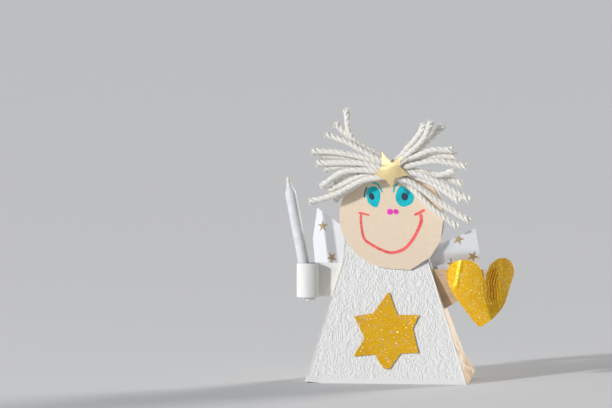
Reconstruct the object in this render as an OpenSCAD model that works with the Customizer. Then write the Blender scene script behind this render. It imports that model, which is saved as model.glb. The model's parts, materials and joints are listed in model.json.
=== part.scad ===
// Paper angel doll that stands on a folded card body.
// Millimetres, +Z up, the face looks along -Y, the origin is the middle of the base on the table.

/* [Body] */
// Width of the body at the base
body_w = 89; // [75:1:110]
// Depth of the body at the base
body_d = 40; // [30:1:50]
// Height of the ridge where the front and back panels meet
ridge_h = 66; // [58:1:80]
// Width of the body at the ridge
ridge_w = 47; // [40:1:56]
// Sideways shift of the ridge from the middle of the base
ridge_shift = -2.3; // [-5:0.1:5]
// Height of the neck tabs above the ridge
neck_h = 20; // [18:1:28]
// Width of the neck tabs at their top
neck_top_w = 44; // [30:1:46]
// Thickness of the body card
card_t = 0.8; // [0.5:0.1:1.2]
// Thickness of the embossed dress paper
dress_t = 0.5; // [0.3:0.1:0.8]

/* [Chest star] */
// Distance from the middle of the chest star to its tips
chest_star_r = 21.5; // [14:0.5:24]
// Height of the middle of the chest star above the base
chest_star_z = 28; // [26:1:34]
// Thickness of the glitter card
glitter_t = 0.4; // [0.3:0.1:0.8]

/* [Head] */
// Diameter of the face disc
face_d = 57; // [48:1:62]
// Thickness of the face disc
face_t = 0.6; // [0.4:0.1:1]
// Diameter of the white backing disc
backing_d = 57; // [48:1:62]
// Thickness of the backing disc
backing_t = 0.9; // [0.5:0.1:1.5]
// Sideways shift of the backing disc, which leaves a white rim beside the face
backing_shift = 0.7; // [0:0.1:2]
// Diameter of the glue layer between the two discs
face_glue_d = 46; // [20:1:48]
// Thickness of the glue layer
face_glue_t = 0.4; // [0.2:0.1:0.8]
// Height of the middle of the head above the ridge
head_rise = 24; // [20:1:30]
// Sideways shift of the head
head_shift = 1; // [-3:0.5:3]
// Width of the foam pad behind the head
pad_w = 18; // [10:1:26]
// Height of the foam pad
pad_h = 14; // [8:1:16]

/* [Hair] */
// Diameter of the yarn
yarn_d = 2.8; // [2:0.1:3]
// Height of the middle of the hair above the middle of the head
hair_rise = 26; // [22:1:28]

/* [Forehead star] */
// Distance from the middle of the forehead star to its tips
forehead_star_r = 9.7; // [7:0.1:12]
// Distance from the middle of the forehead star to its notches
forehead_notch_r = 5.2; // [3:0.1:6]
// Thickness of the gold card
gold_card_t = 0.4; // [0.3:0.1:0.8]
// Height of the fold above the middle of the star
forehead_fold_z = 2.2; // [1:0.1:3]
// Backward bend of the half above the fold, in degrees
upper_bend = 28; // [0:1:30]
// Backward bend of the half below the fold, in degrees
lower_bend = 6; // [0:1:10]

/* [Arms] */
// Thickness of the arm paper
arm_t = 0.5; // [0.3:0.1:0.8]
// Height of the left arm strip and of its rolled sleeve
sleeve_h = 18.6; // [14:0.1:22]
// Outer diameter of the sleeve
sleeve_d = 11.3; // [9:0.1:14]
// Distance from the middle of the doll to the axis of the sleeve
sleeve_reach = 45.4; // [42:0.1:55]
// Drop from the ridge to the top edge of the left arm
left_arm_drop = 1.4; // [1:0.1:6]
// Drop from the ridge to the top edge of the right arm
right_arm_drop = 4.5; // [2:0.1:8]
// Height of the right arm at the body
right_arm_root_h = 21.5; // [16:0.5:26]
// Height of the right arm at its far end
right_arm_tip_h = 10.5; // [8:0.5:14]
// Distance from the middle of the doll to the far end of the right arm
right_arm_reach = 53; // [48:0.5:60]

/* [Candle] */
// Diameter of the candle
candle_d = 5.9; // [4.5:0.1:7]
// Length of the candle without its wick
candle_len = 66.3; // [50:0.1:80]
// Length of the tapered top
candle_taper_len = 6; // [3:0.5:10]
// Diameter of the waxed wick
wick_d = 2.2; // [1.2:0.1:3]
// Length of the wick
wick_len = 3; // [2:0.5:6]
// Length of the candle that shows below the sleeve
candle_drop = 2; // [0:0.5:5]

/* [Heart] */
// Width of the heart before it is bent
heart_w = 39.6; // [30:0.1:46]
// Height of the heart
heart_h = 38; // [30:0.5:46]
// Thickness of the heart
heart_t = 0.4; // [0.3:0.1:0.8]
// Drop from the top edge of the right arm to the middle of the heart's lobes
heart_drop = 4.2; // [2:0.1:6]
// Lean of the heart, in degrees
heart_lean = 5; // [0:1:10]
// Distance from the middle of the heart to its fold
heart_fold = 2.2; // [1:0.1:4]
// Backward bend of the heart beyond its fold, in degrees
heart_bend = 44; // [0:1:50]

/* [Wings] */
// Thickness of the wing paper
wing_t = 0.4; // [0.2:0.1:0.6]
// Width of the strip that is glued behind the neck
wing_strip_w = 16; // [10:1:22]
// Height of the glued strip
wing_strip_h = 12; // [8:1:15]
// Backward sweep of the left wing, in degrees
left_wing_sweep = 24; // [16:1:35]
// Backward sweep of the right wing, in degrees
right_wing_sweep = 7; // [6:1:35]
// Length of the left wing
left_wing_len = 41; // [34:0.5:50]
// Height of the left wing's tip above the ridge
left_wing_rise = 28; // [18:0.5:34]
// Length of the right wing
right_wing_len = 41.5; // [34:0.5:50]
// Height of the right wing's tip above the ridge
right_wing_rise = 18; // [16:0.5:34]
// Drop from the ridge to the lower edge of the wings
wing_drop = 13; // [6:0.5:18]
// Distance that a wing's tip stands in from its outermost point
wing_tip_in = 3; // [0:0.5:6]
// Drop from a wing's tip to its outermost point
wing_belly_drop = 17; // [10:0.5:22]
// Drop from a wing's tip to its shoulder beside the head
wing_shoulder_drop = 9; // [4:0.5:12]
// Distance from a wing's fold to its shoulder
wing_shoulder = 21; // [16:0.5:26]

/* [Hidden] */
// Clearances between pieces that fold, lie or slide beside each other
fold_gap = 0.3;
base_gap = 0.1;
head_gap = 0.4;
hair_gap = 0.2;
wing_gap = 1.5;
candle_gap = 0.43;
// The gussets end just below the ridge, where their card has no room left
gusset_gap = 1.5;
// The arm tabs keep this far from the edges of their gusset
tab_inset = 0.5;
tab_short = 4;
// The lobes of the heart overlap by this much in its middle
lobe_overlap = 0.2;
// The arm ends this far before the heart's fold
heart_room = 1.1;
// The glued wing strip starts this far above the ridge
wing_strip_rise = 2;
// Sideways place of the forehead star on the hair
forehead_star_shift = 1.6;
// Sides of a yarn tube, and the smoothness of the round pieces
yarn_sides = 8;
$fn = 96;

// Height of the neck, of the head and of the arms
neck_top = ridge_h + neck_h;
head_z = ridge_h + head_rise;
left_arm_top = ridge_h - left_arm_drop;
left_arm_low = left_arm_top - sleeve_h;
right_arm_top = ridge_h - right_arm_drop;
right_arm_low = right_arm_top - right_arm_root_h;

// The body at height z: its sides, its half depth and the lean of its front
function half_w(z) = (body_w + (ridge_w - body_w) * z / ridge_h) / 2;
function left_x(z) = ridge_shift * z / ridge_h - half_w(z);
function right_x(z) = ridge_shift * z / ridge_h + half_w(z);
function half_d(z) = body_d / 2 + (card_t - body_d / 2) * z / ridge_h;
front_lean = atan2(body_d / 2 - card_t, ridge_h);
dress_depth = dress_t / cos(front_lean);

// The layers of the head, from the neck forwards
disc_low = head_z - max(face_d, backing_d) / 2;
backing_y = max(half_d(disc_low), card_t) + dress_depth + head_gap;
pad_t = backing_y - card_t - dress_depth;
face_glue_y = backing_y + backing_t;
face_back_y = face_glue_y + face_glue_t;
face_y = face_back_y + face_t;

// The sleeve's axis, and the lean at which the candle comes to rest in it
sleeve_y = arm_t / 2 - sleeve_d / 2;
sleeve_bore = sleeve_d - 2 * arm_t;
candle_lean = atan2((sleeve_bore - candle_d) / 2 - candle_gap, sleeve_h / 2);
candle_below = sleeve_h / 2 / cos(candle_lean) + candle_drop;

// The heart's lobes, and the place where its straight sides leave them
lobe_r = heart_w / 4 + lobe_overlap / 2;
lobe_x = heart_w / 2 - lobe_r;
heart_tip = heart_h - lobe_r;
side_len = sqrt(lobe_x * lobe_x + heart_tip * heart_tip - lobe_r * lobe_r);
side_angle = atan2(heart_tip, lobe_x) - atan2(lobe_r, side_len);
side_x = side_len * cos(side_angle);
side_y = side_len * sin(side_angle) - heart_tip;
side_turn = atan2(side_y, side_x - lobe_x);
notch_turn = acos(-lobe_x / lobe_r);
// The ends of the heart's fold on the right lobe and on the right side
fold_turn = acos((heart_fold - lobe_x) / lobe_r);
fold_top = lobe_r * sin(fold_turn);
fold_low = (side_y + heart_tip) * heart_fold / side_x - heart_tip;
lobe_steps = 36;
notch_steps = 4;
heart_x = right_arm_reach + heart_room - heart_fold;
heart_z = right_arm_top - heart_drop;

// The wings' folds behind the neck
wing_fold_x = wing_strip_w / 2;
wing_fold_y = card_t + wing_t / 2 + fold_gap / 3;
wing_root_low = ridge_h + wing_strip_rise;
wing_root_top = wing_root_low + wing_strip_h;
wing_low = ridge_h - wing_drop;

// Routes of the yarn from its left tip to its right tip, from the root of the hair on the face.
// Each runs through its place in the bundle under the star, which squeezes the yarn.
hair_routes = [
    [[-24.5, -1, 33], [-23, -1.5, 21], [-18.5, -1.6, 15], [-10, -1.6, 10], [1, -1.6, 4.8],
     [11, -1.6, 14], [16, -2, 20], [18.5, -2.5, 25]],
    [[-31, 2.5, 25], [-24, 2.5, 18.5], [-14, 2, 9.5], [-6, 0.2, 5.2], [1, -1.6, 2.5],
     [13.5, -1.2, 9.5], [20.5, 0, 16.5], [28.5, 0.5, 24]],
    [[-35, -5, 19], [-24, -5, 15.5], [-13, -4.8, 9.5], [1, -4.4, 3.7],
     [12.5, -4.8, 11], [19, -5, 18], [22.5, -5, 26.5]],
    [[-42.5, -4.5, 10], [-29, -4.5, 9.5], [-15, -4.4, 6.5], [1, -4.4, 1.4],
     [13, -4.4, 7], [23.5, -4.5, 11], [34, -4.5, 11]],
    [[-38.5, -1.5, 7.5], [-27, -1.5, 7], [-15.5, -1.6, 5], [1, -1.6, 0.3],
     [13.5, -1.6, 5], [24.5, -1.5, 7.5], [36, -1.5, 7.5]],
    [[-39.5, -7, 3.5], [-27, -7.2, 4], [-14, -7.2, 3.5], [1, -7.2, 0.3],
     [13.5, -7.2, 3], [26.5, -7.2, 5], [42, -7, 2]],
    [[-36, -4.5, 0.5], [-25.5, -4.4, 2], [-14, -4.4, 1.5], [1, -4.4, -0.7],
     [13.5, -4.4, 0], [24.5, -4.4, -3], [35, -4.5, -0.5]],
    [[-37.5, -7, -9], [-26.5, -7.2, -1.5], [-15, -7.2, 0], [1, -7.2, -1.8],
     [13.5, -7.2, -1.5], [28, -7.2, -7], [44, -7, -16]],
    [[-31, -1.6, -7], [-24, -1.6, -2.5], [-14.5, -1.6, -0.5], [1, -1.6, -1.8],
     [13.5, -1.6, -1], [27, -1, -3], [39, -1, -7.5]],
    [[-33.5, -4.4, -11.5], [-25, -4.4, -7.5], [-14, -4.4, -3], [1, -4.4, -2.8],
     [13.5, -4.4, -3.5], [26.5, -4.4, -9], [38, -4.4, -17]],
    [[-43.5, -7, -17.5], [-29, -7.2, -13], [-14, -7.2, -5.5], [1, -7.2, -3.9],
     [12.5, -6.5, -7], [26.5, -5, -17], [43.5, -4.5, -27.5]],
    [[-31, -1.6, -16.5], [-22, -1.6, -10.5], [-13, -1.6, -5.5], [1, -1.6, -3.9],
     [11, -1.6, -9.5], [22.5, -1.6, -20.5], [36.5, -1.6, -31]]
];
bundle_x = 1;
bundle_squeeze = 0.68;
hair_root = [head_shift, -face_y, head_z + hair_rise];
// The front of the yarn bundle, which carries the forehead star
hair_front = max([for (route = hair_routes, point = route) -point[1]]) + yarn_d / 2;
hair_low_row = 3.9;
function hair_name(k) = str("hair_", k < 9 ? "0" : "", k + 1);

// A closed skin over loops of points, each counter-clockwise seen from the last loop
module loft(loops) {
    n = len(loops[0]);
    last = len(loops) - 1;
    sides = [for (k = [0 : last - 1], i = [0 : n - 1])
        each [[k * n + i, (k + 1) * n + i, (k + 1) * n + (i + 1) % n],
              [k * n + i, (k + 1) * n + (i + 1) % n, k * n + (i + 1) % n]]];
    first_cap = [for (i = [0 : n - 1]) i];
    last_cap = [for (i = [n - 1 : -1 : 0]) last * n + i];
    polyhedron([for (loop = loops) each loop], concat(sides, [first_cap, last_cap]));
}

// A flat outline drawn in X and Z, upright, with its thickness centred on the plane Y = 0
module upright(thickness) {
    rotate([90, 0, 0])
        linear_extrude(thickness, center = true)
            children();
}

// Card panels: the wedge's front with its neck tab, mitred at both sides
function panel_loop(z, from_x, to_x, depth) = [
    [from_x, -depth, z],
    [to_x, -depth, z],
    [to_x - card_t, card_t - depth, z],
    [from_x + card_t, card_t - depth, z]
];

module panel() {
    loft([
        panel_loop(0, left_x(0), right_x(0), half_d(0)),
        panel_loop(ridge_h, left_x(ridge_h), right_x(ridge_h), card_t),
        panel_loop(neck_top, ridge_shift - neck_top_w / 2, ridge_shift + neck_top_w / 2, card_t)
    ]);
}

module front_panel() {
    color("ghostwhite")
        panel();
}

module back_panel() {
    color("ghostwhite")
        mirror([0, 1, 0])
            panel();
}

// Card gussets between the panels
function left_gusset_loop(z) = [
    [left_x(z), -half_d(z), z],
    [left_x(z) + card_t, card_t - half_d(z), z],
    [left_x(z) + card_t, half_d(z) - card_t, z],
    [left_x(z), half_d(z), z]
];

function right_gusset_loop(z) = [
    [right_x(z) - card_t, card_t - half_d(z), z],
    [right_x(z), -half_d(z), z],
    [right_x(z), half_d(z), z],
    [right_x(z) - card_t, half_d(z) - card_t, z]
];

module left_gusset() {
    color("antiquewhite")
        loft([left_gusset_loop(0), left_gusset_loop(ridge_h - gusset_gap)]);
}

module right_gusset() {
    color("antiquewhite")
        loft([right_gusset_loop(0), right_gusset_loop(ridge_h - gusset_gap)]);
}

// Card that keeps the wedge open, set in flush with the lower edges
module base_card() {
    from_x = left_x(card_t) + card_t + base_gap;
    to_x = right_x(card_t) - card_t - base_gap;
    depth = half_d(card_t) - card_t - base_gap;
    color("antiquewhite")
        translate([from_x, -depth, 0])
            cube([to_x - from_x, 2 * depth, card_t]);
}

// Embossed paper on the front with its neck tab, and on the back below the ridge
function dress_loop(z, from_x, to_x, depth) = [
    [from_x, -depth - dress_depth, z],
    [to_x, -depth - dress_depth, z],
    [to_x, -depth, z],
    [from_x, -depth, z]
];
function skirt_loop(z) = dress_loop(z, left_x(z), right_x(z), half_d(z));

module dress_front() {
    color("white")
        loft([
            skirt_loop(0),
            skirt_loop(ridge_h),
            dress_loop(neck_top, ridge_shift - neck_top_w / 2, ridge_shift + neck_top_w / 2, card_t)
        ]);
}

module dress_back() {
    color("white")
        mirror([0, 1, 0])
            loft([skirt_loop(0), skirt_loop(ridge_h)]);
}

// Six-point star of two triangles, lying on the dress
module chest_star() {
    color("goldenrod")
        translate([0, -half_d(chest_star_z) - dress_depth, chest_star_z])
            rotate([90 - front_lean, 0, 0])
                linear_extrude(glitter_t)
                    for (turn = [90, 270])
                        rotate(turn)
                            circle(chest_star_r, $fn = 3);
}

// Head: a foam pad on the dress at the neck, a white disc, glue and the face
module head_pad() {
    color("whitesmoke")
        translate([ridge_shift - pad_w / 2, -backing_y, ridge_h + (neck_h - pad_h) / 2])
            cube([pad_w, pad_t, pad_h]);
}

module head_layer(y, x, diameter, thickness) {
    translate([x, -y, head_z])
        rotate([90, 0, 0])
            cylinder(h = thickness, d = diameter);
}

module head_backing() {
    color("white")
        head_layer(backing_y, head_shift + backing_shift, backing_d, backing_t);
}

module face_glue() {
    color("lightgray")
        head_layer(face_glue_y, head_shift, face_glue_d, face_glue_t);
}

module face_disc() {
    color("bisque")
        head_layer(face_back_y, head_shift, face_d, face_t);
}

// Yarn: a tube swept along the points of its route
function unit(v) = v / norm(v);
function heading(route, i) =
    unit(route[min(i + 1, len(route) - 1)] - route[max(i - 1, 0)]);
function yarn_ring(middle, ahead) =
    let (
        across = unit(cross([0, 1, 0], ahead)),
        up = cross(ahead, across),
        radius = yarn_d / 2 * (middle[0] == bundle_x ? bundle_squeeze : 1)
    )
    [for (i = [0 : yarn_sides - 1])
        let (angle = 360 * i / yarn_sides)
        middle + radius * (cos(angle) * across + sin(angle) * up)];

module hair_strand(route) {
    color("linen")
        translate(hair_root)
            loft([for (i = [0 : len(route) - 1]) yarn_ring(route[i], heading(route, i))]);
}

// Five-point star with one tip down, folded over the front of the hair
module five_point_star() {
    polygon([for (i = [0 : 9])
        let (r = i % 2 == 0 ? forehead_star_r : forehead_notch_r)
        [r * sin(36 * i + 180), r * cos(36 * i + 180) - forehead_fold_z]]);
}

module star_half(side, bend) {
    translate([0, 0, gold_card_t])
        rotate([side * bend, 0, 0])
            translate([0, 0, -gold_card_t])
                linear_extrude(gold_card_t)
                    intersection() {
                        five_point_star();
                        translate([0, side * forehead_star_r])
                            square(2 * forehead_star_r, center = true);
                    }
}

module forehead_star() {
    fold_lead = (forehead_fold_z + hair_low_row) * tan(lower_bend);
    color("gold")
        translate(hair_root)
            translate([forehead_star_shift, -hair_front - hair_gap - fold_lead, forehead_fold_z])
                rotate([90, 0, 0]) {
                    star_half(1, -upper_bend);
                    star_half(-1, -lower_bend);
                }
}

// Wings: a strip glued behind the neck and two flaps that fold at its ends
module wing_centre() {
    color("snow")
        translate([fold_gap - wing_fold_x, card_t, wing_root_low])
            cube([wing_strip_w - 2 * fold_gap, wing_t, wing_strip_h]);
}

module wing_flap(length, rise, sweep, low_inner, root_inner) {
    tip_z = ridge_h + rise;
    rotate(sweep)
        upright(wing_t)
            polygon([
                [fold_gap, wing_root_low],
                [root_inner - wing_fold_x + wing_gap, wing_root_low],
                [low_inner - wing_fold_x + wing_gap, wing_low],
                [length - wing_tip_in, wing_low],
                [length, tip_z - wing_belly_drop],
                [length - wing_tip_in, tip_z],
                [wing_shoulder, tip_z - wing_shoulder_drop],
                [fold_gap, wing_root_top]
            ]);
}

module left_wing() {
    color("snow")
        translate([-wing_fold_x, wing_fold_y, 0])
            mirror([1, 0, 0])
                wing_flap(left_wing_len, left_wing_rise, left_wing_sweep,
                    -left_x(wing_low), -left_x(ridge_h));
}

module right_wing() {
    color("snow")
        translate([wing_fold_x, wing_fold_y, 0])
            wing_flap(right_wing_len, right_wing_rise, right_wing_sweep,
                right_x(wing_low), right_x(ridge_h));
}

// Arm tabs: the ends of the arm paper, glued flat on the gussets behind the folds
function tab_loop(z, from_x, to_x) = [
    [from_x, arm_t / 2 + fold_gap, z],
    [to_x, arm_t / 2 + fold_gap, z],
    [to_x, half_d(z) - tab_inset, z],
    [from_x, half_d(z) - tab_inset, z]
];

function left_tab_loop(z) = tab_loop(z, left_x(z) - arm_t, left_x(z));
function right_tab_loop(z) = tab_loop(z, right_x(z), right_x(z) + arm_t);

module left_arm_tab() {
    color("white")
        loft([left_tab_loop(left_arm_low), left_tab_loop(left_arm_top - tab_short)]);
}

module right_arm_tab() {
    color("white")
        loft([right_tab_loop(right_arm_low), right_tab_loop(right_arm_top - tab_short)]);
}

// Left arm: a strip whose end is rolled forwards into a sleeve
module left_arm() {
    color("white") {
        upright(arm_t)
            polygon([
                [-sleeve_reach, left_arm_low],
                [left_x(left_arm_low) - fold_gap, left_arm_low],
                [left_x(left_arm_top) - fold_gap, left_arm_top],
                [-sleeve_reach, left_arm_top]
            ]);
        translate([-sleeve_reach, sleeve_y, left_arm_low])
            linear_extrude(sleeve_h)
                difference() {
                    circle(d = sleeve_d);
                    circle(d = sleeve_bore);
                }
    }
}

// The candle leans on the rims of the sleeve
module in_sleeve() {
    translate([-sleeve_reach, sleeve_y, left_arm_low + sleeve_h / 2])
        rotate([0, -candle_lean, 0])
            translate([0, 0, -candle_below])
                children();
}

module candle() {
    color("ivory")
        in_sleeve() {
            cylinder(h = candle_len - candle_taper_len, d = candle_d);
            translate([0, 0, candle_len - candle_taper_len])
                cylinder(h = candle_taper_len, d1 = candle_d, d2 = wick_d);
        }
}

module wick() {
    color("wheat")
        in_sleeve()
            translate([0, 0, candle_len])
                cylinder(h = wick_len, d = wick_d);
}

// Right arm: a strip that narrows towards the heart
module right_arm() {
    color("white")
        upright(arm_t)
            polygon([
                [right_x(right_arm_low) + fold_gap, right_arm_low],
                [right_arm_reach, right_arm_top - right_arm_tip_h],
                [right_arm_reach, right_arm_top],
                [right_x(right_arm_top) + fold_gap, right_arm_top]
            ]);
}

// Heart: two round lobes and straight sides, folded back beyond the end of the arm
function lobe_arc(middle, from, to, steps, first, last) = [for (i = [first : last])
    let (angle = from + (to - from) * i / steps)
    [middle + lobe_r * cos(angle), lobe_r * sin(angle)]];

// The outline, counter-clockwise from the lower end of the fold
heart_rim = concat(
    [[heart_fold, fold_low]],
    lobe_arc(lobe_x, side_turn, fold_turn, lobe_steps, 0, lobe_steps - 1),
    [[heart_fold, fold_top]],
    lobe_arc(lobe_x, fold_turn, notch_turn, notch_steps, 1, notch_steps),
    lobe_arc(-lobe_x, 180 - notch_turn, 180 - side_turn, lobe_steps, 1, lobe_steps),
    [[0, -heart_tip]]
);

// The outline on the front and on the rear of the card, mitred at the fold
function heart_front(p) = p[0] > heart_fold
    ? [heart_fold + (p[0] - heart_fold) * cos(heart_bend), p[1],
       heart_t - (p[0] - heart_fold) * sin(heart_bend)]
    : [p[0], p[1], heart_t];
function heart_rear(p) = p[0] > heart_fold
    ? heart_front(p) - heart_t * [sin(heart_bend), 0, cos(heart_bend)]
    : p[0] == heart_fold ? [heart_fold - heart_t * tan(heart_bend / 2), p[1], 0] : [p[0], p[1], 0];

module heart_sheet() {
    n = len(heart_rim);
    fold_end = lobe_steps + 1;
    right_half = [for (i = [0 : fold_end]) i];
    left_half = concat([for (i = [fold_end : n - 1]) i], [0]);
    halves = [right_half, left_half];
    polyhedron(
        concat([for (p = heart_rim) heart_front(p)], [for (p = heart_rim) heart_rear(p)]),
        concat(
            [for (half = halves) [for (i = [len(half) - 1 : -1 : 0]) half[i]]],
            [for (half = halves) [for (i = half) n + i]],
            [for (i = [0 : n - 1]) each [[i, (i + 1) % n, n + (i + 1) % n], [i, n + (i + 1) % n, n + i]]]
        )
    );
}

module gold_heart() {
    color("gold")
        translate([heart_x, -arm_t / 2, heart_z])
            rotate([90, 0, 0])
                rotate(-heart_lean)
                    heart_sheet();
}

front_panel();
back_panel();
left_gusset();
right_gusset();
base_card();
dress_front();
dress_back();
chest_star();
head_pad();
head_backing();
face_glue();
face_disc();
forehead_star();
for (k = [0 : len(hair_routes) - 1])
    hair_strand(hair_routes[k]);
wing_centre();
left_wing();
right_wing();
left_arm_tab();
left_arm();
candle();
wick();
right_arm_tab();
right_arm();
gold_heart();
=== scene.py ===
# %% [markdown]
# # A paper angel, dressed in Blender
# The doll is hand-made from paper: a card wedge in an embossed dress, a round face drawn with markers, yarn
# for hair, paper wings, and two paper arms with a candle and a gold heart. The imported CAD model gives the
# frame and the joints. Each step below makes the looks of some pieces, and lets them ride on the CAD body
# they belong to. Left and right are the viewer's own.

# %% Load the frame
import json
import math
import random

import bmesh
import bpy
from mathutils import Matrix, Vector, noise
from mathutils.geometry import delaunay_2d_cdt

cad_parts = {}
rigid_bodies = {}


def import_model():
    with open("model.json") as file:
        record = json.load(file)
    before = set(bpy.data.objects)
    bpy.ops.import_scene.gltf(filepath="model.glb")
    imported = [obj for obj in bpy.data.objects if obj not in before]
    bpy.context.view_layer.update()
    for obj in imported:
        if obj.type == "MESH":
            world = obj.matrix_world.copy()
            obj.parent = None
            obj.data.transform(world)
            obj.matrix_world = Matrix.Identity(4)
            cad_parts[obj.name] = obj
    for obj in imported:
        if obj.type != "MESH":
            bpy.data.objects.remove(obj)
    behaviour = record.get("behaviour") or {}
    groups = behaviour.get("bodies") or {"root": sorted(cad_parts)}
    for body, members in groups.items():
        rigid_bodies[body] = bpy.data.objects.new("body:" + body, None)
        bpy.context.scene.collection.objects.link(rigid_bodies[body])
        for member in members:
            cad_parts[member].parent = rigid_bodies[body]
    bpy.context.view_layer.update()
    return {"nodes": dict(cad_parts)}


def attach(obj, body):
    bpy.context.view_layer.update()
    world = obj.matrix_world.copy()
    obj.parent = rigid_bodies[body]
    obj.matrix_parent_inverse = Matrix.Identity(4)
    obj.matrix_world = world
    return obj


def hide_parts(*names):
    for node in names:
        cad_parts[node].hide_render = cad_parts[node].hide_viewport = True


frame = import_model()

MM = 0.001
scene = bpy.context.scene

# %% [markdown]
# ## The camera
# The photo was taken nearly level and a little from the right, with a long lens that hardly shows any
# perspective. The doll stands right of the middle, so the camera looks at a point beside its head.

# %% Camera
turn, tilt = math.radians(8), math.radians(2.5)
away = 2.0
aim_right, aim_up = -46.2, 97
to_right = Vector((math.cos(turn), math.sin(turn), 0))
to_camera = Vector((math.sin(turn) * math.cos(tilt), -math.cos(turn) * math.cos(tilt), math.sin(tilt)))
to_top = to_camera.cross(to_right)

camera_data = bpy.data.cameras.new("camera")
camera_data.sensor_width = 36
camera_data.lens = 214
camera = bpy.data.objects.new("camera", camera_data)
camera.location = (to_right * aim_right + to_top * aim_up) * MM + to_camera * away
camera.rotation_euler = to_camera.to_track_quat("Z", "Y").to_euler()
scene.collection.objects.link(camera)
scene.camera = camera
print("camera:", camera_data.lens, "mm lens,", away, "m away")

# %% [markdown]
# ## Tools for meshes
# Paper, card and yarn are all made from lists of points and faces. These helpers join such lists, fill an
# outline with small triangles so that a sheet can bend, and turn the lists into an object that rides on a CAD
# body. Everything is written in millimetres and scaled once, when the object is made.

# %% Mesh tools
sharp_edge = math.radians(42)


def wave(x, y, size, seed=0.0):
    """Smooth noise between about -1 and 1, with bumps of the given size."""
    return noise.noise(Vector((x / size, y / size, seed)))


def ease(low, high, value):
    """0 below low, 1 above high, and a smooth step between."""
    t = min(1.0, max(0.0, (value - low) / (high - low)))
    return t * t * (3 - 2 * t)


def join(parts):
    """Several (points, faces) lists as one."""
    points, faces = [], []
    for part_points, part_faces in parts:
        faces += [[len(points) + i for i in face] for face in part_faces]
        points += part_points
    return points, faces


def build(name, shape, look, body, slot, *stands_for):
    """An object from (points, faces) in millimetres, riding on a body in place of CAD nodes."""
    points, faces = shape
    mesh = bpy.data.meshes.new(name)
    mesh.from_pydata([[c * MM for c in p] for p in points], [], faces)
    tidy = bmesh.new()
    tidy.from_mesh(mesh)
    bmesh.ops.recalc_face_normals(tidy, faces=tidy.faces)
    tidy.to_mesh(mesh)
    tidy.free()
    mesh.shade_smooth()
    mesh.set_sharp_from_angle(angle=sharp_edge)
    mesh.materials.append(look)
    piece = bpy.data.objects.new(name, mesh)
    scene.collection.objects.link(piece)
    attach(piece, body)
    if stands_for:
        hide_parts(*stands_for)
    return piece


print("mesh tools are ready")


# %% Sheets and tubes
def inside(x, y, outline):
    """Whether a point lies inside a closed outline."""
    hits = 0
    for (ax, ay), (bx, by) in zip(outline, outline[1:] + outline[:1]):
        if (ay > y) != (by > y) and x < ax + (bx - ax) * (y - ay) / (by - ay):
            hits += 1
    return hits % 2 == 1


def fill(outline, step):
    """Points and triangles that fill an outline, about one step apart."""
    # Rows of a triangular grid lie closer than the points in a row, and no point crowds the rim.
    row_high, off_rim = 0.87, 0.6
    rim = []
    for here, there in zip(outline, outline[1:] + outline[:1]):
        parts = max(1, math.ceil(math.dist(here, there) / step))
        rim += [(here[0] + (there[0] - here[0]) * i / parts, here[1] + (there[1] - here[1]) * i / parts)
                for i in range(parts)]
    low_x, high_x = min(p[0] for p in rim), max(p[0] for p in rim)
    low_y, high_y = min(p[1] for p in rim), max(p[1] for p in rim)
    middle = []
    for row in range(int((high_y - low_y) / (step * row_high)) + 1):
        for column in range(int((high_x - low_x) / step) + 2):
            x = low_x + (column + row % 2 / 2) * step
            y = low_y + (row + 0.5) * step * row_high
            if inside(x, y, rim) and min(math.dist((x, y), p) for p in rim) > step * off_rim:
                middle.append((x, y))
    edges = [(i, (i + 1) % len(rim)) for i in range(len(rim))]
    points, _, faces, *_ = delaunay_2d_cdt([Vector(p) for p in rim + middle], edges, [], 1, 1e-6)
    return [tuple(p) for p in points], [list(face) for face in faces]


def close_sheet(front, back, faces):
    """A closed sheet from its front and back points and the faces of its front."""
    n = len(front)
    used = {(a, b) for face in faces for a, b in zip(face, face[1:] + face[:1])}
    walls = [[b, a, n + a, n + b] for a, b in used if (b, a) not in used]
    return front + back, faces + [[n + i for i in reversed(face)] for face in faces] + walls


def cut_sheet(outline, step, thickness, place):
    """A cut-out sheet; place(x, y, h) says where a point of it goes, h above its back."""
    points, faces = fill(outline, step)
    front, back = ([place(x, y, h) for x, y in points] for h in (thickness, 0))
    return close_sheet(front, back, faces)


def grid_sheet(across, along, thickness, place):
    """A four-sided sheet; place(u, v, h) takes u and v from 0 to 1."""
    spots = [(i / across, j / along) for j in range(along + 1) for i in range(across + 1)]
    row = across + 1
    faces = [[j * row + i, j * row + i + 1, (j + 1) * row + i + 1, (j + 1) * row + i]
             for j in range(along) for i in range(across)]
    front, back = ([place(u, v, h) for u, v in spots] for h in (thickness, 0))
    return close_sheet(front, back, faces)


def tube(rings):
    """A closed tube over rings of points."""
    n = len(rings[0])
    faces = [[k * n + i, k * n + (i + 1) % n, (k + 1) * n + (i + 1) % n, (k + 1) * n + i]
             for k in range(len(rings) - 1) for i in range(n)]
    last = (len(rings) - 1) * n
    return [p for ring in rings for p in ring], faces + [list(range(n))[::-1], list(range(last, last + n))]


print("sheet and tube tools are ready")

# %% [markdown]
# ## Tools for materials
# Papers, glitter, wax and yarn share a few effects: fibres in paper, cells of glitter, the streaks of a
# marker. Each effect is a node group that gives shades, heights or normals, so that any material can use it.


# %% Material tools
def colour(red, green, blue):
    """A screen colour from 0 to 255 as the linear colour that a shader takes."""
    parts = [c / 255 for c in (red, green, blue)]
    return [c / 12.92 if c < 0.04 else ((c + 0.055) / 1.055) ** 2.4 for c in parts] + [1.0]


def add(tree, kind, feeds=None, **settings):
    """A shader node with its settings, and sockets fed by values or by other sockets."""
    made = tree.nodes.new("ShaderNode" + kind)
    for name, value in settings.items():
        setattr(made, name, value)
    for socket, value in (feeds or {}).items():
        if isinstance(value, bpy.types.NodeSocket):
            tree.links.new(value, made.inputs[socket])
        else:
            made.inputs[socket].default_value = value
    return made


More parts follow.
